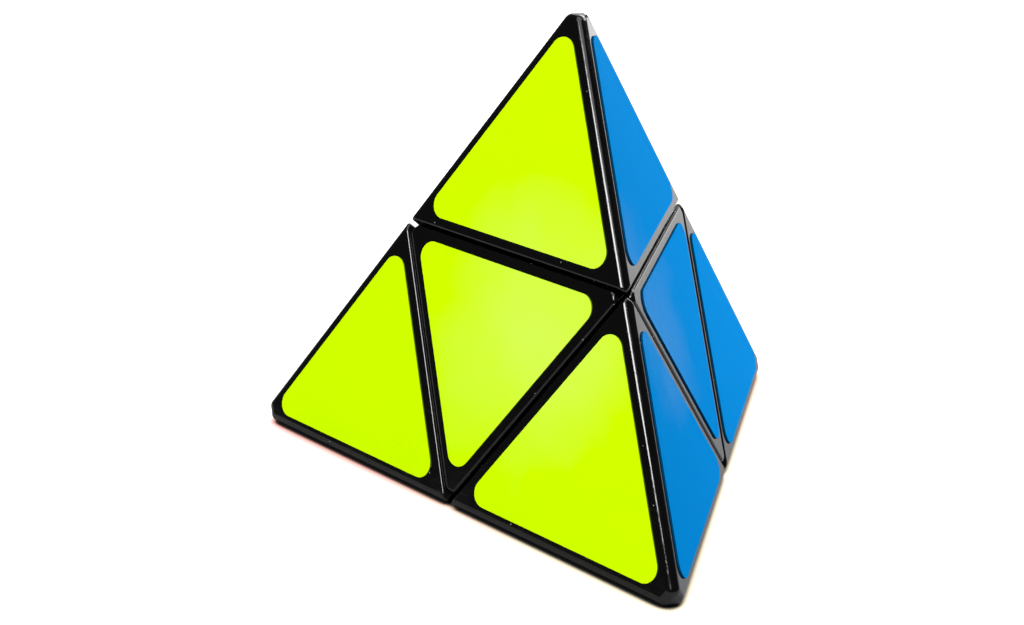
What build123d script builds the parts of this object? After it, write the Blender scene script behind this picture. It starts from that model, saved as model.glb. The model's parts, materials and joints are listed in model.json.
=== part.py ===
from build123d import *
from math import acos, cos, sin, sqrt
import os

# Pyramid twisty puzzle: a tetrahedron cut by three mutually perpendicular planes through its centre.
# The cuts leave eight outer pieces. Four carry a vertex (tips) and four carry the middle of a face.
# They turn in halves about three axes, each through the middles of two opposite edges. Inside is a
# ball: a six-armed core, six sprung centre caps, twelve hidden edges and a foot on every outer piece.
# Each outer piece is a cap glued to a base, and the base carries the foot.
#
# Frame: millimetres, +Z up, origin at the centre of the bottom face on the surface it rests on.
# Each master is drawn once, with the centre of the puzzle at 0, 0, 0 and the turning axes along X, Y
# and Z. Copies of it are then placed by frames whose X, Y and Z are turning axes of the real puzzle.

# ---- driving dimensions -------------------------------------------------------------------------
edge_length = 98.0  # one edge of the tetrahedron, before its edges are rounded
half_gap = 0.15  # each piece stands back this far from a cutting plane
outer_edge_radius = 1.3  # along the tetrahedron's edges and at its vertices
vertex_flat = 1.2  # each vertex is flattened by this much
vertex_flat_radius = 1.5  # around the flat
tip_seam_radius = 0.45  # around the inner faces of a tip
face_seam_radius = 0.45  # around the outer face of a face piece
wall_corner_radius = 1.5  # where two walls meet, on a face piece and on every base
skin = 1.8  # wall of a cap

sticker_thickness = 0.25
sticker_corner_radius = 2.4
sticker_edge_margin = 2.6  # from the tetrahedron's edges, on a tip
sticker_seam_margin = 1.7  # from the cut, on a tip

ball_radius = 16.0
ball_step = 12.5  # inner and outer shells of the ball meet here
ball_hollow = 9.0
inner_cut_cos = 0.40  # cosine of the half angle of the cones that divide the inner shell
outer_cut_cos = 0.50  # the same in the outer shell, so its pieces overhang the inner ones
play = 0.08  # each piece of the ball stands back this far from a shared surface
neck = 0.4  # half the height of the neck between a piece's inner and outer shells

parting_height = 17.6  # from the centre to the joint between a base and its cap
flank = 1.2  # wall of a base
dome_clearance = 0.15  # from the ball to the hollow of a base
dome_wall = 1.2
tongue_depth = 1.0
tongue_width = 1.2
glue_gap = 0.08

core_radius = 5.6
arm_radius = 3.2
arm_length = 8.2
arm_root_radius = 0.8
screw_radius = 1.0
screw_tip = 3.2  # all heights on an arm are measured from the centre
screw_thread_gap = 0.03
screw_bore_radius = 1.15  # through the centre caps
screw_head_base = 13.9
screw_head_radius = 2.0
screw_head_height = 1.2
screw_slot_width = 0.5
screw_slot_depth = 0.6
pocket_floor = 10.4
pocket_radius = 2.5
spring_radius = 1.75
spring_wire_radius = 0.25
spring_turns = 4
washer_height = 0.4
washer_radius = 2.2

# ---- worked out from them -----------------------------------------------------------------------
leg = edge_length / (2 * sqrt(2))  # from the centre to the middle of an edge, or along X to a vertex
face_distance = leg / sqrt(3)
centre = Vector(0, 0, sticker_thickness + face_distance)
vertex_top = 3 * face_distance - 2 * outer_edge_radius  # from the centre to the top of a rounded vertex
blank = 3 * edge_length
sphere_tilt = (35, 25, 0)  # turns each sphere's poles and seam away from the planes and cones that cut it

# The turning axes: a leaves through the middle of the edge from the top to the front right vertex, b
# through the edge from the top to the back, and c through the edge from the top to the front left.
axis_a = Vector(sqrt(1 / 2), -sqrt(1 / 6), sqrt(1 / 3))
axis_b = Vector(0, sqrt(2 / 3), sqrt(1 / 3))
axis_c = Vector(-sqrt(1 / 2), -sqrt(1 / 6), sqrt(1 / 3))
half_axes = {
    "a1": axis_a,
    "a2": -axis_a,
    "b1": axis_b,
    "b2": -axis_b,
    "c1": axis_c,
    "c2": -axis_c,
}

# The eight octants, by the signs of a, b and c. An even number of minus signs makes a tip.
tip_octants = {
    "top": (1, 1, 1),
    "front_left": (-1, -1, 1),
    "front_right": (1, -1, -1),
    "back": (-1, 1, -1),
}
face_octants = {
    "front": (1, -1, 1),
    "right": (1, 1, -1),
    "left": (-1, 1, 1),
    "bottom": (-1, -1, -1),
}

diagonal = (1, 1, 1)
inner_corner = (half_gap, half_gap, half_gap)  # of an outer piece, where its three walls meet
tip_face_normals = [(-1, 1, 1), (1, -1, 1), (1, 1, -1)]


def octant_frame(signs):
    """Right-handed frame at the centre whose X, Y and Z are the half axes that bound an octant."""
    first, second, third = axis_a * signs[0], axis_b * signs[1], axis_c * signs[2]
    if signs[0] * signs[1] * signs[2] < 0:
        first, second = second, first
    return Plane(origin=centre, x_dir=first, z_dir=third)


def save(name, piece):
    """Label a finished piece and write it to a file of its own."""
    piece.part.label = name
    export_step(piece.part, f"parts/{name}.step")


def place(name, master, frame):
    """Write a copy of a master, moved into a frame."""
    with BuildPart(frame) as placed:
        add(master.part)
    save(name, placed)


def facing(normal, distance):
    """A plane this far from the centre, facing away from it along a normal."""
    direction = Vector(*normal).normalized()
    return Plane(origin=direction * distance, z_dir=direction)


def octant_walls(inset):
    """The three cutting planes, moved into the octant by an inset and facing out of it."""
    return [
        Plane(origin=(inset, 0, 0), z_dir=(-1, 0, 0)),
        Plane(origin=(0, inset, 0), z_dir=(0, -1, 0)),
        Plane(origin=(0, 0, inset), z_dir=(0, 0, -1)),
    ]


def cut_below(planes):
    """Keep what lies below every plane of a list."""
    for plane in planes:
        split(bisect_by=plane, keep=Keep.BOTTOM)


def edges_at(piece, point):
    """The edges that end at a point."""
    corner = Vector(*point)
    return ShapeList(
        edge for edge in piece.edges() if min((edge @ 0 - corner).length, (edge @ 1 - corner).length) < 0.01
    )


def wall_edges(piece):
    """The edges around the faces that lie on the octant's walls."""
    flat = [face for face in piece.faces() if min(*face.center()) < half_gap + 0.001]
    return ShapeList(edge for face in flat for edge in face.edges())


def corner_block(inset, height):
    """The corner of an octant, its walls moved in by an inset, up to a height along the diagonal."""
    with BuildPart() as block:
        Box(blank, blank, blank)
        cut_below([facing(diagonal, height), *octant_walls(inset)])
    return block.part


parting = facing(diagonal, parting_height)

# ---- caps: the outer shells of the eight outer pieces ---------------------------------------------
with BuildPart() as tip_hollow:
    Box(blank, blank, blank)
    cut_below([facing(normal, face_distance - skin) for normal in tip_face_normals])
    cut_below(octant_walls(half_gap + skin))

# The tongue under a cap goes inside the walls of its base.
tongue_top = parting_height + tongue_depth
tongue_outer = corner_block(half_gap + flank + glue_gap, tongue_top)
tongue_inner = corner_block(half_gap + flank + glue_gap + tongue_width, tongue_top + 1)
with BuildPart() as tongue:
    add(tongue_outer)
    add(tongue_inner, mode=Mode.SUBTRACT)
    split(bisect_by=facing(diagonal, parting_height - tongue_depth), keep=Keep.TOP)

with BuildPart() as tip_cap:
    Box(blank, blank, blank)
    cut_below([facing(normal, face_distance) for normal in tip_face_normals])
    fillet(edges_at(tip_cap, (leg, leg, leg)), outer_edge_radius)
    split(bisect_by=facing(diagonal, vertex_top - vertex_flat), keep=Keep.BOTTOM)
    flat_top = tip_cap.faces().sort_by(Axis((0, 0, 0), diagonal))[-1]
    fillet(flat_top.edges(), vertex_flat_radius)
    cut_below(octant_walls(half_gap))
    fillet(wall_edges(tip_cap), tip_seam_radius)
    add(tip_hollow.part, mode=Mode.SUBTRACT)
    split(bisect_by=parting, keep=Keep.TOP)
    add(tongue.part)

with BuildPart() as face_cap:
    Box(blank, blank, blank)
    cut_below([facing(diagonal, face_distance), *octant_walls(half_gap)])
    fillet(edges_at(face_cap, inner_corner), wall_corner_radius)
    outer_face = face_cap.faces().sort_by(Axis((0, 0, 0), diagonal))[-1]
    fillet(outer_face.edges(), face_seam_radius)
    split(bisect_by=parting, keep=Keep.TOP)
    add(tongue.part)

for name, signs in tip_octants.items():
    place(f"tip_cap_{name}", tip_cap, octant_frame(signs))
for name, signs in face_octants.items():
    place(f"face_cap_{name}", face_cap, octant_frame(signs))


# ---- the ball: two shells divided by cones about the six half axes --------------------------------
def sector(direction, cut_cos, shift, inner_radius, outer_radius):
    """A spherical shell within a half angle of a half axis, its cone shifted along its normal inwards."""
    spread = acos(cut_cos)
    apex = shift / sin(spread)

    def rim(radius):
        """Where the cone meets a sphere."""
        along = sqrt(radius**2 - (apex * sin(spread)) ** 2) - apex * cos(spread)
        return (along * sin(spread), apex + along * cos(spread))

    with BuildPart() as solid:
        with BuildSketch(Plane.XZ):
            with BuildLine():
                Line((0, inner_radius), (0, outer_radius))
                RadiusArc((0, outer_radius), rim(outer_radius), outer_radius)
                Line(rim(outer_radius), rim(inner_radius))
                RadiusArc(rim(inner_radius), (0, inner_radius), -inner_radius)
            make_face()
        revolve(axis=Axis.Z)
    return Plane(origin=(0, 0, 0), z_dir=direction) * solid.part


def wedge(inside, outside, cut_cosines, inner_radius, outer_radius):
    """The part of a spherical shell that lies inside some half axes' cones and outside others'."""
    first = sector(inside[0], cut_cosines[0], play, inner_radius, outer_radius)
    wider = (inner_radius - 1, outer_radius + 1)
    cuts = [(direction, cut_cos) for direction in inside for cut_cos in cut_cosines][1:]
    kept = [sector(direction, cut_cos, play, *wider) for direction, cut_cos in cuts]
    lost = [sector(direction, cut_cos, -play, *wider) for direction in outside for cut_cos in cut_cosines]
    with BuildPart() as piece:
        add(first)
        for solid in kept:
            add(solid, mode=Mode.INTERSECT)
        for solid in lost:
            add(solid, mode=Mode.SUBTRACT)
    return piece.part


def shells(inside, outside, top):
    """The inner wedge, the outer wedge up to a radius, and the neck that joins them."""
    return [
        wedge(inside, outside, [inner_cut_cos], ball_hollow, ball_step - play),
        wedge(inside, outside, [outer_cut_cos], ball_step + play, top),
        wedge(inside, outside, [inner_cut_cos, outer_cut_cos], ball_step - neck, ball_step + neck),
    ]


x_way, y_way, z_way = (1, 0, 0), (0, 1, 0), (0, 0, 1)
x_back, y_back, z_back = (-1, 0, 0), (0, -1, 0), (0, 0, -1)

# ---- bases: they close the caps, and each holds a foot inside the ball ------------------------------
pocket_block = corner_block(half_gap + flank, parting_height + 1)
with BuildPart() as pocket:
    add(pocket_block)
    Sphere(ball_radius + dome_clearance + dome_wall, rotation=sphere_tilt, mode=Mode.SUBTRACT)

base_block = corner_block(half_gap, parting_height)
foot = shells([x_way, y_way, z_way], [], ball_radius + dome_clearance + dome_wall / 2)
with BuildPart() as base:
    add(base_block)
    fillet(edges_at(base, inner_corner), wall_corner_radius)
    add(pocket.part, mode=Mode.SUBTRACT)
    Sphere(ball_radius + dome_clearance, rotation=sphere_tilt, mode=Mode.SUBTRACT)
    add(foot)
for name, signs in {**tip_octants, **face_octants}.items():
    place(f"base_{name}", base, octant_frame(signs))

# ---- hidden edges: one between each two neighbouring half axes --------------------------------------
edge_shells = shells([x_way, y_way], [z_way, z_back], ball_radius)
with BuildPart() as hidden_edge:
    add(edge_shells)
for first, second in (("a", "b"), ("a", "c"), ("b", "c")):
    for i in (1, 2):
        for j in (1, 2):
            x_dir, y_dir = half_axes[f"{first}{i}"], half_axes[f"{second}{j}"]
            frame = Plane(origin=centre, x_dir=x_dir, z_dir=x_dir.cross(y_dir))
            place(f"hidden_edge_{first}{i}_{second}{j}", hidden_edge, frame)

# ---- centre caps: each turns on a screw, and its spring sits in a pocket -----------------------------
cap_shells = shells([z_way], [x_way, x_back, y_way, y_back], ball_radius)
with BuildPart() as centre_cap:
    add(cap_shells)
    Cylinder(screw_bore_radius, 2 * ball_radius, mode=Mode.SUBTRACT)
    with BuildSketch(Plane.XY.offset(pocket_floor)):
        Circle(pocket_radius)
    extrude(amount=ball_radius, mode=Mode.SUBTRACT)

# A half axis's frame has that axis as Z and another turning axis as X.
half_axis_frames = {}
for name, direction in half_axes.items():
    side = axis_b if name[0] == "a" else axis_a
    half_axis_frames[name] = Plane(origin=centre, x_dir=side, z_dir=direction)
for name, frame in half_axis_frames.items():
    place(f"centre_cap_{name}", centre_cap, frame)

# ---- core: a hub with six arms, bored for the screws ------------------------------------------------
with BuildPart(half_axis_frames["a1"]) as core:
    Sphere(core_radius)
    for frame in half_axis_frames.values():
        with BuildSketch(frame):
            Circle(arm_radius)
        extrude(amount=arm_length)
    roots = core.edges().filter_by(GeomType.CIRCLE)
    fillet(roots.filter_by(lambda edge: (edge.arc_center - centre).length < core_radius), arm_root_radius)
    for frame in half_axis_frames.values():
        with BuildSketch(frame.offset(screw_tip)):
            Circle(screw_radius + screw_thread_gap)
        extrude(amount=arm_length, mode=Mode.SUBTRACT)
save("core_spider", core)

# ---- screws, washers and springs: one on each arm ----------------------------------------------------
with BuildPart() as screw:
    with BuildSketch(Plane.XY.offset(screw_tip)):
        Circle(screw_radius)
    extrude(amount=screw_head_base - screw_tip)
    with BuildSketch(Plane.XY.offset(screw_head_base)):
        Circle(screw_head_radius)
    extrude(amount=screw_head_height)
    rim = screw.edges().sort_by(Axis.Z)[-1]
    fillet(rim, screw_head_height / 4)
    with BuildSketch(Plane.XY.offset(screw_head_base + screw_head_height)):
        Rectangle(2 * screw_head_radius * 0.7, screw_slot_width)
        Rectangle(screw_slot_width, 2 * screw_head_radius * 0.7)
    extrude(amount=-screw_slot_depth, mode=Mode.SUBTRACT)

with BuildPart() as washer:
    with BuildSketch(Plane.XY.offset(screw_head_base - washer_height)):
        Circle(washer_radius)
        Circle(screw_bore_radius, mode=Mode.SUBTRACT)
    extrude(amount=washer_height)

spring_bottom = pocket_floor + spring_wire_radius + play
spring_height = screw_head_base - washer_height - spring_wire_radius - play - spring_bottom
with BuildPart() as spring:
    with BuildLine() as coil:
        Helix(spring_height / spring_turns, spring_height, spring_radius, center=(0, 0, spring_bottom))
    with BuildSketch(Plane(origin=coil.line @ 0, z_dir=coil.line % 0)):
        Circle(spring_wire_radius)
    sweep(is_frenet=True)

for name, master in (("tension_screws", screw), ("tension_washers", washer), ("tension_springs", spring)):
    with BuildPart(*half_axis_frames.values()) as group:
        add(master.part)
    save(name, group)

# ---- stickers: equal triangles, three on a tip and one on a face piece ------------------------------
sticker_side = edge_length / 2 - (2 * sticker_edge_margin + sticker_seam_margin) * 2 / sqrt(3)


def sticker(plane):
    """A triangle with rounded corners, its first corner along the plane's X."""
    with BuildPart() as label:
        with BuildSketch(plane) as outline:
            RegularPolygon(sticker_side / sqrt(3), 3)
            fillet(outline.vertices(), sticker_corner_radius)
        extrude(amount=sticker_thickness)
    return label


middle_sticker = sticker(Plane(origin=facing(diagonal, face_distance).origin, x_dir=(2, -1, -1), z_dir=diagonal))
for name, signs in face_octants.items():
    place(f"sticker_{name}_middle", middle_sticker, octant_frame(signs))

# On a tip, a sticker stands on the cut and points at the vertex. Turning one sign of the tip's octant
# gives the face that the sticker is on.
inradius = sticker_side / (2 * sqrt(3))
face_of_signs = {signs: name for name, signs in face_octants.items()}
for turned, normal in enumerate(tip_face_normals):
    upward = Vector(*[2 if index == turned else 1 for index in range(3)]).normalized()
    cut_middle = Vector(*[0 if index == turned else leg / 2 for index in range(3)])
    middle = cut_middle + upward * (sticker_seam_margin + inradius)
    tip_sticker = sticker(Plane(origin=middle, x_dir=upward, z_dir=normal))
    for name, signs in tip_octants.items():
        face = face_of_signs[tuple(-sign if i == turned else sign for i, sign in enumerate(signs))]
        place(f"sticker_{face}_{name}", tip_sticker, octant_frame(signs))
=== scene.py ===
import json
from math import cos, radians, sin, sqrt

import bpy
from mathutils import Matrix, Vector


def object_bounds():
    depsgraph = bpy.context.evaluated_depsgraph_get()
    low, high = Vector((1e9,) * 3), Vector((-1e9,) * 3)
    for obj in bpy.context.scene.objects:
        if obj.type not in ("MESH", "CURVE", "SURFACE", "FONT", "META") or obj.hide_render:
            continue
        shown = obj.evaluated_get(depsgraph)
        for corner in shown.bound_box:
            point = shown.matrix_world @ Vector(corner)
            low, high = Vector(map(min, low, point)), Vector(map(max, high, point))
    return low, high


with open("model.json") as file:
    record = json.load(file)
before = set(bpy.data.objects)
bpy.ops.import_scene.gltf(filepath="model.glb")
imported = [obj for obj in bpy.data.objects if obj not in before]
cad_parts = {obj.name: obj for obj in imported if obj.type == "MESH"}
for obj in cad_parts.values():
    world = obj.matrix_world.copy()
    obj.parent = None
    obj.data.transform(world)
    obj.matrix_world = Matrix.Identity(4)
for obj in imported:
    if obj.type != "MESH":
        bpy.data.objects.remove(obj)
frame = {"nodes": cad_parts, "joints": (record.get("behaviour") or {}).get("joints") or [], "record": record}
cad_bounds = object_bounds()
nodes = frame["nodes"]

# ---- the puzzle's own directions, from the frame ---------------------------------------------------
MM = 0.001
PER_MM = 1000.0  # object coordinates are in metres; textures are laid out in millimetres
centre = Vector(frame["joints"][0]["pos_m"])
# painted glare: the sticker films are painted paler around this point
painted_glare_middle = centre + Vector((10.0, -14.0, 9.0)) * MM  # the stickers are paler around this point
slope = 1 / 3  # upward part of the unit normal of a side face of a tetrahedron
reach = sqrt(1 - slope**2)
FACE_NORMALS = {
    "yellow_vinyl": (0.0, -reach, slope),
    "blue_vinyl": (reach * cos(radians(30)), reach * sin(radians(30)), slope),
    "green_vinyl": (-reach * cos(radians(30)), reach * sin(radians(30)), slope),
    "red_vinyl": (0.0, 0.0, -1.0),
}


# ---- small helpers for node materials ----------------------------------------------------------------
class Nodes:
    """Builds one node tree, one short call for each node."""

    def __init__(self, tree):
        self.tree = tree
        tree.nodes.clear()

    def add(self, kind, **settings):
        node = self.tree.nodes.new(kind)
        for name, value in settings.items():
            setattr(node, name, value)
        return node

    def link(self, source, target):
        self.tree.links.new(source, target)

    def math(self, operation, first, second=None, clamp=False):
        node = self.add("ShaderNodeMath", operation=operation, use_clamp=clamp)
        for socket, value in zip(node.inputs, (first, second)):
            if isinstance(value, (int, float)):
                socket.default_value = value
            elif value is not None:
                self.link(value, socket)
        return node.outputs[0]

    def position(self, stretch=(1, 1, 1)):
        """Place on the object in millimetres, squeezed along each axis by a stretch."""
        coordinates = self.add("ShaderNodeTexCoord")
        scaled = self.add("ShaderNodeVectorMath", operation="MULTIPLY")
        scaled.inputs[1].default_value = [PER_MM * s for s in stretch]
        self.link(coordinates.outputs["Object"], scaled.inputs[0])
        return scaled.outputs[0]

    def noise(self, place, scale, detail=2.0, rough=0.5):
        node = self.add("ShaderNodeTexNoise")
        node.inputs["Scale"].default_value = scale
        node.inputs["Detail"].default_value = detail
        node.inputs["Roughness"].default_value = rough
        self.link(place, node.inputs["Vector"])
        return node.outputs["Fac"]

    def spots(self, place, scale, size):
        """1 inside sparse round specks, 0 elsewhere."""
        node = self.add("ShaderNodeTexVoronoi")
        node.inputs["Scale"].default_value = scale
        self.link(place, node.inputs["Vector"])
        return self.math("LESS_THAN", node.outputs["Distance"], size)

    def ramp(self, value, low_in, high_in, low_out, high_out):
        node = self.add("ShaderNodeMapRange")
        ends = (("From Min", low_in), ("From Max", high_in), ("To Min", low_out), ("To Max", high_out))
        for name, number in ends:
            node.inputs[name].default_value = number
        self.link(value, node.inputs["Value"])
        return node.outputs["Result"]

    def bump(self, height, distance, strength=1.0, below=None):
        node = self.add("ShaderNodeBump")
        node.inputs["Distance"].default_value = distance
        node.inputs["Strength"].default_value = strength
        self.link(height, node.inputs["Height"])
        if below is not None:
            self.link(below, node.inputs["Normal"])
        return node.outputs["Normal"]


def colour_mix(tree, share, first, second):
    """Colour between two colours. Each may be an output or a plain colour."""
    node = tree.add("ShaderNodeMix", data_type="RGBA")
    factor, a, b = node.inputs[0], node.inputs[6], node.inputs[7]
    for socket, value in ((factor, share), (a, first), (b, second)):
        if isinstance(value, bpy.types.NodeSocket):
            tree.link(value, socket)
        elif socket is factor:
            socket.default_value = value
        else:
            socket.default_value = (*value, 1.0)
    return node.outputs[2]


def new_material(name):
    material = bpy.data.materials.new(name)
    material.use_nodes = True
    tree = Nodes(material.node_tree)
    shader = tree.add("ShaderNodeBsdfPrincipled")
    output = tree.add("ShaderNodeOutputMaterial")
    tree.link(shader.outputs[0], output.inputs[0])
    return material, tree, shader


# ---- materials ---------------------------------------------------------------------------------------
def moulded_plastic(name, colour, dust, gloss):
    """Injection moulded plastic: smudged gloss, hairline scratches, a faint wave and sparse dust."""
    material, tree, shader = new_material(name)
    place = tree.position()
    smudge = tree.noise(place, 0.12, detail=3.0)
    fine = tree.noise(place, 2.5, detail=2.0)
    streaks = tree.noise(tree.position((0.25, 3.0, 0.9)), 1.1, detail=4.0, rough=0.6)
    hairlines = tree.ramp(streaks, 0.60, 0.68, 0.0, 1.0)
    specks = tree.spots(place, 0.45, 0.045)
    tinted = colour_mix(tree, tree.ramp(smudge, 0.3, 0.7, 0.0, 1.0), colour, tuple(1.25 * c for c in colour))
    tree.link(colour_mix(tree, specks, tinted, dust), shader.inputs["Base Color"])
    polished = tree.ramp(smudge, 0.35, 0.75, gloss, gloss + 0.07)
    scuffed = tree.math("MULTIPLY_ADD", hairlines, 0.10)
    tree.link(polished, scuffed.node.inputs[2])
    worn = tree.math("MULTIPLY_ADD", fine, 0.03)
    tree.link(scuffed, worn.node.inputs[2])
    dusty = tree.math("MAXIMUM", worn, tree.math("MULTIPLY", specks, 0.6))
    tree.link(dusty, shader.inputs["Roughness"])
    shader.inputs["IOR"].default_value = 1.5
    wave = tree.bump(tree.noise(place, 0.35, detail=1.0), 0.03 * MM)
    scratched = tree.bump(hairlines, 0.002 * MM, below=wave)
    tree.link(scratched, shader.inputs["Normal"])
    return material


FILM_SHINE = 0.0005  # specular level of a sticker, which hardly reflects
# painted glare: how far the paler patch reaches around its middle point
GLARE_INNER, GLARE_OUTER = 14 * MM, 37 * MM  # palest up to the first distance, unchanged past the second


def vinyl(name, colour, glare_colour, normal, speckle=0.45):
    """Printed vinyl film: orange peel, fine grain, brushed streaks, a darker cut edge, and a painted glare
    that makes it paler around one point.
    """
    material, tree, shader = new_material(name)
    place = tree.position()
    coordinates = tree.add("ShaderNodeTexCoord")
    facing = tree.add("ShaderNodeVectorMath", operation="DOT_PRODUCT")
    facing.inputs[1].default_value = normal
    tree.link(coordinates.outputs["Normal"], facing.inputs[0])
    top = tree.ramp(facing.outputs["Value"], 0.45, 0.8, 0.0, 1.0)
    away = tree.add("ShaderNodeVectorMath", operation="DISTANCE")
    away.inputs[1].default_value = painted_glare_middle
    tree.link(coordinates.outputs["Object"], away.inputs[0])
    cloud = tree.noise(place, 0.06, detail=3.0)
    ragged = tree.math("MULTIPLY_ADD", cloud, 24 * MM)
    tree.link(away.outputs["Value"], ragged.node.inputs[2])
    # painted glare: the film turns towards its paler glare colour near the middle point
    painted_glare = tree.ramp(ragged, GLARE_INNER, GLARE_OUTER, 1.0, 0.0)
    grain = tree.noise(place, 2.4, detail=3.0, rough=0.7)
    streaks = tree.noise(tree.position((2.2, 2.2, 0.16)), 1.3, detail=3.0)
    deep = tuple(0.97 * c for c in colour)
    film = colour_mix(tree, tree.ramp(cloud, 0.3, 0.7, 0.0, 1.0), deep, colour)
    film = colour_mix(tree, painted_glare, film, glare_colour)
    dark = tuple(0.7 * c for c in colour)
    speckled = colour_mix(tree, tree.ramp(grain, 0.35, 0.70, 0.0, speckle), film, dark)
    edge = tuple(0.22 * c for c in colour)
    tree.link(colour_mix(tree, top, edge, speckled), shader.inputs["Base Color"])
    tree.link(tree.ramp(grain, 0.3, 0.7, 0.24, 0.34), shader.inputs["Roughness"])
    shader.inputs["IOR"].default_value = 1.46
    shader.inputs["Specular IOR Level"].default_value = FILM_SHINE
    peel = tree.bump(tree.noise(place, 0.55, detail=2.0), 0.012 * MM)
    brushed = tree.bump(streaks, 0.003 * MM, below=peel)
    grained = tree.bump(grain, 0.0015 * MM, below=brushed)
    tree.link(grained, shader.inputs["Normal"])
    return material


def metal(name, colour, gloss):
    """Plated steel with turning marks."""
    material, tree, shader = new_material(name)
    place = tree.position()
    marks = tree.noise(tree.position((4.0, 4.0, 0.5)), 1.5, detail=3.0)
    stain = tree.noise(place, 0.8, detail=2.0)
    dull = tuple(0.75 * c for c in colour)
    stained = colour_mix(tree, tree.ramp(stain, 0.3, 0.7, 0.0, 1.0), dull, colour)
    tree.link(stained, shader.inputs["Base Color"])
    shader.inputs["Metallic"].default_value = 1.0
    tree.link(tree.ramp(marks, 0.3, 0.7, gloss, gloss + 0.15), shader.inputs["Roughness"])
    tree.link(tree.bump(marks, 0.002 * MM), shader.inputs["Normal"])
    return material


BLACK = (0.0009, 0.0009, 0.0010)
MATERIALS = {
    "black_shell": moulded_plastic("glossy_black_plastic", BLACK, (0.35, 0.34, 0.32), 0.07),
    "dark_mechanism": moulded_plastic("mechanism_plastic", (0.02, 0.02, 0.022), (0.3, 0.3, 0.28), 0.24),
    "pale_core": moulded_plastic("core_plastic", (0.62, 0.60, 0.54), (0.2, 0.19, 0.17), 0.3),
    "spring_steel": metal("plated_steel", (0.62, 0.62, 0.64), 0.22),
    # the second colour of each sticker film is its painted glare colour
    "yellow_vinyl": vinyl(
        "yellow_film", (0.61, 0.98, 0.0), (0.65, 1.0, 0.09), FACE_NORMALS["yellow_vinyl"], speckle=0.18
    ),
    "blue_vinyl": vinyl("blue_film", (0.0, 0.245, 0.68), (0.10, 0.31, 0.68), FACE_NORMALS["blue_vinyl"]),
    "green_vinyl": vinyl("green_film", (0.0, 0.42, 0.07), (0.03, 0.46, 0.12), FACE_NORMALS["green_vinyl"]),
    "red_vinyl": vinyl("red_film", (0.78, 0.015, 0.04), (0.80, 0.05, 0.07), FACE_NORMALS["red_vinyl"]),
}

slot_of = {part["node"]: part["material_slot"] for part in frame["record"]["subparts"]}
for name, node in nodes.items():
    node.data.materials.clear()
    node.data.materials.append(MATERIALS[slot_of[name]])

# ---- stickers: a soft cut edge --------------------------------------------------------------------------
for name, node in nodes.items():
    if name.startswith("sticker_"):
        softened = node.modifiers.new("soft_edge", "BEVEL")
        softened.width = 0.06 * MM
        softened.segments = 3
        softened.angle_limit = radians(50)

# ---- camera ----------------------------------------------------------------------------------------------
AZIMUTH, ELEVATION, ROLL = radians(43.78), radians(21.37), radians(1.08)
DISTANCE = 305.5 * MM
AIM = centre + Vector((-8.2, -5.1, 5.1)) * MM
SENSOR_WIDTH, LENS = 36.0, 64.16

outward = Vector((sin(AZIMUTH) * cos(ELEVATION), -cos(AZIMUTH) * cos(ELEVATION), sin(ELEVATION)))
camera_data = bpy.data.cameras.new("camera")
camera_data.sensor_width = SENSOR_WIDTH
camera_data.lens = LENS
camera_data.clip_start = 0.01
camera = bpy.data.objects.new("camera", camera_data)
camera.matrix_world = (
    Matrix.Translation(AIM + outward * DISTANCE)
    @ outward.to_track_quat("Z", "Y").to_matrix().to_4x4()
    @ Matrix.Rotation(ROLL, 4, "Z")
)
bpy.context.scene.collection.objects.link(camera)
bpy.context.scene.camera = camera


# ---- light ------------------------------------------------------------------------------------------------
def softbox(name, azimuth, elevation, distance, size, power, facing=None):
    """A rectangular light that faces the puzzle's centre, or the way given. Azimuth 0 is in front, at -Y."""
    data = bpy.data.lights.new(name, "AREA")
    data.shape = "RECTANGLE"
    data.size, data.size_y = size
    data.energy = power
    light = bpy.data.objects.new(name, data)
    way = Vector((
        sin(radians(azimuth)) * cos(radians(elevation)),
        -cos(radians(azimuth)) * cos(radians(elevation)),
        sin(radians(elevation)),
    ))
    turn = Vector(facing or way).to_track_quat("Z", "Y").to_matrix().to_4x4()
    light.matrix_world = Matrix.Translation(centre + way * distance) @ turn
    light.visible_camera = False
    bpy.context.scene.collection.objects.link(light)


softbox("key", 20, 42, 0.9, (0.26, 0.26), 5.2)
softbox("overhead", 15, 76, 1.2, (1.2, 1.2), 10.5)
softbox("back_left", -130, 25, 1.0, (0.9, 0.6), 2.0)
softbox("floor_behind", 184, 36, 0.50, (0.45, 0.45), 4.6, facing=(0, 0, 1))
softbox("backdrop", 193, 5, 0.75, (0.44, 0.20), 0.70)

world = bpy.data.worlds.new("studio")
bpy.context.scene.world = world
world.use_nodes = True
sky = Nodes(world.node_tree)
seen = sky.add("ShaderNodeLightPath")
background = sky.add("ShaderNodeBackground")
shade = colour_mix(sky, seen.outputs["Is Camera Ray"], (0.07, 0.07, 0.07), (1.0, 1.0, 1.0))
sky.link(shade, background.inputs["Color"])
sky.link(background.outputs[0], sky.add("ShaderNodeOutputWorld").inputs["Surface"])

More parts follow.
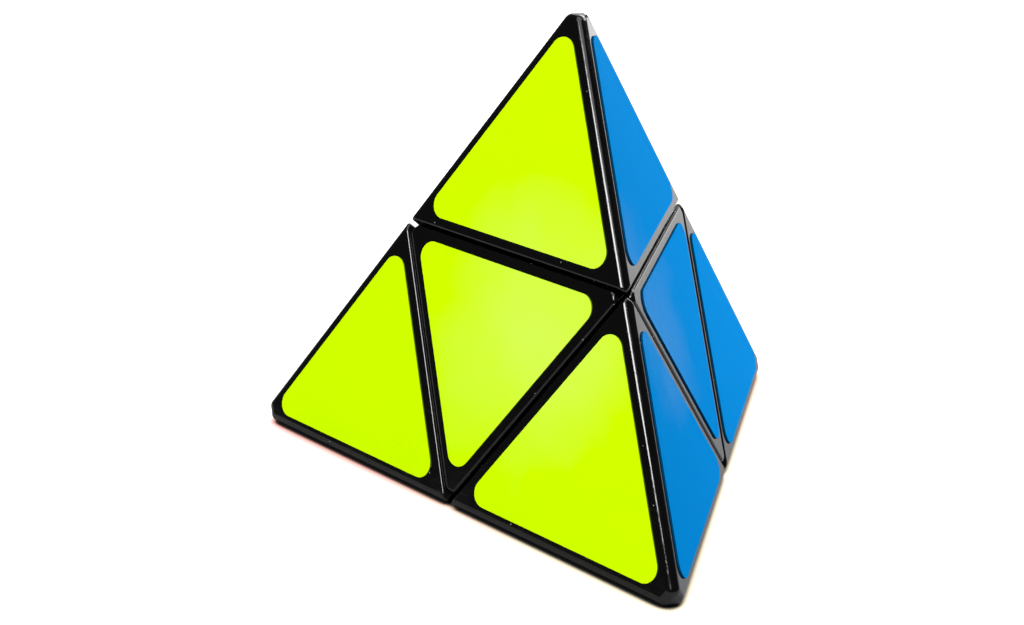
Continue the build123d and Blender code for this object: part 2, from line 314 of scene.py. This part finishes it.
# ---- floor ------------------------------------------------------------------------------------------------
FLOOR_HALF = 3.0
FLOOR_DROP = 0.02 * MM  # below the puzzle, so that the two surfaces don't share a plane
CONTACT_REACH = 4 * MM  # painted contact shadow and painted bounce light: the floor is darker and tinted where the puzzle is this near
CAMERA_GLOW = 0.9  # emission that only the camera sees, which keeps the floor white
# painted bounce light on the floor: reddish under the left of the puzzle, cream under the right
GLOW_LEFT, GLOW_RIGHT = (1.0, 0.42, 0.34), (1.0, 0.84, 0.58)
floor_mesh = bpy.data.meshes.new("floor")
corners = [(x * FLOOR_HALF, y * FLOOR_HALF, 0.0) for x, y in ((-1, -1), (1, -1), (1, 1), (-1, 1))]
floor_mesh.from_pydata(corners, [], [(0, 1, 2, 3)])
floor = bpy.data.objects.new("floor", floor_mesh)
floor.location.z = cad_bounds[0][2] - FLOOR_DROP
bpy.context.scene.collection.objects.link(floor)
paper, tree, shader = new_material("white_paper")
open_sky = tree.add("ShaderNodeAmbientOcclusion", samples=16)
open_sky.inputs["Distance"].default_value = CONTACT_REACH
openness = open_sky.outputs["AO"]
fibres = tree.noise(tree.position(), 1.5, detail=4.0)
clean = colour_mix(tree, fibres, (0.36, 0.36, 0.36), (0.40, 0.40, 0.40))
# painted contact shadow: the paper's colour darkens where the puzzle is near
shaded = colour_mix(tree, tree.ramp(openness, 0.35, 0.75, 0.0, 1.0), (0.02, 0.02, 0.02), clean)
tree.link(shaded, shader.inputs["Base Color"])
shader.inputs["Roughness"].default_value = 0.9
shader.inputs["Specular IOR Level"].default_value = 0.1
across = tree.add("ShaderNodeSeparateXYZ")
tree.link(tree.position(), across.inputs[0])
rightward = tree.ramp(across.outputs["X"], -20.0, 20.0, 0.0, 1.0)
# painted bounce light: the floor's emission turns reddish to cream where the puzzle is near
painted_bounce_tint = colour_mix(tree, rightward, GLOW_LEFT, GLOW_RIGHT)
glow = colour_mix(tree, tree.ramp(openness, 0.54, 0.86, 0.0, 1.0), painted_bounce_tint, (1.0, 1.0, 1.0))
tree.link(glow, shader.inputs["Emission Color"])
lit = tree.math("MULTIPLY", tree.add("ShaderNodeLightPath").outputs["Is Camera Ray"], CAMERA_GLOW)
# painted contact shadow: the camera-only emission fades where the puzzle is near
contact_shaded_glow = tree.math("MULTIPLY", lit, tree.ramp(openness, 0.35, 0.56, 0.0, 1.0))
tree.link(contact_shaded_glow, shader.inputs["Emission Strength"])
floor_mesh.materials.append(paper)

bpy.context.scene.view_settings.view_transform = "Standard"
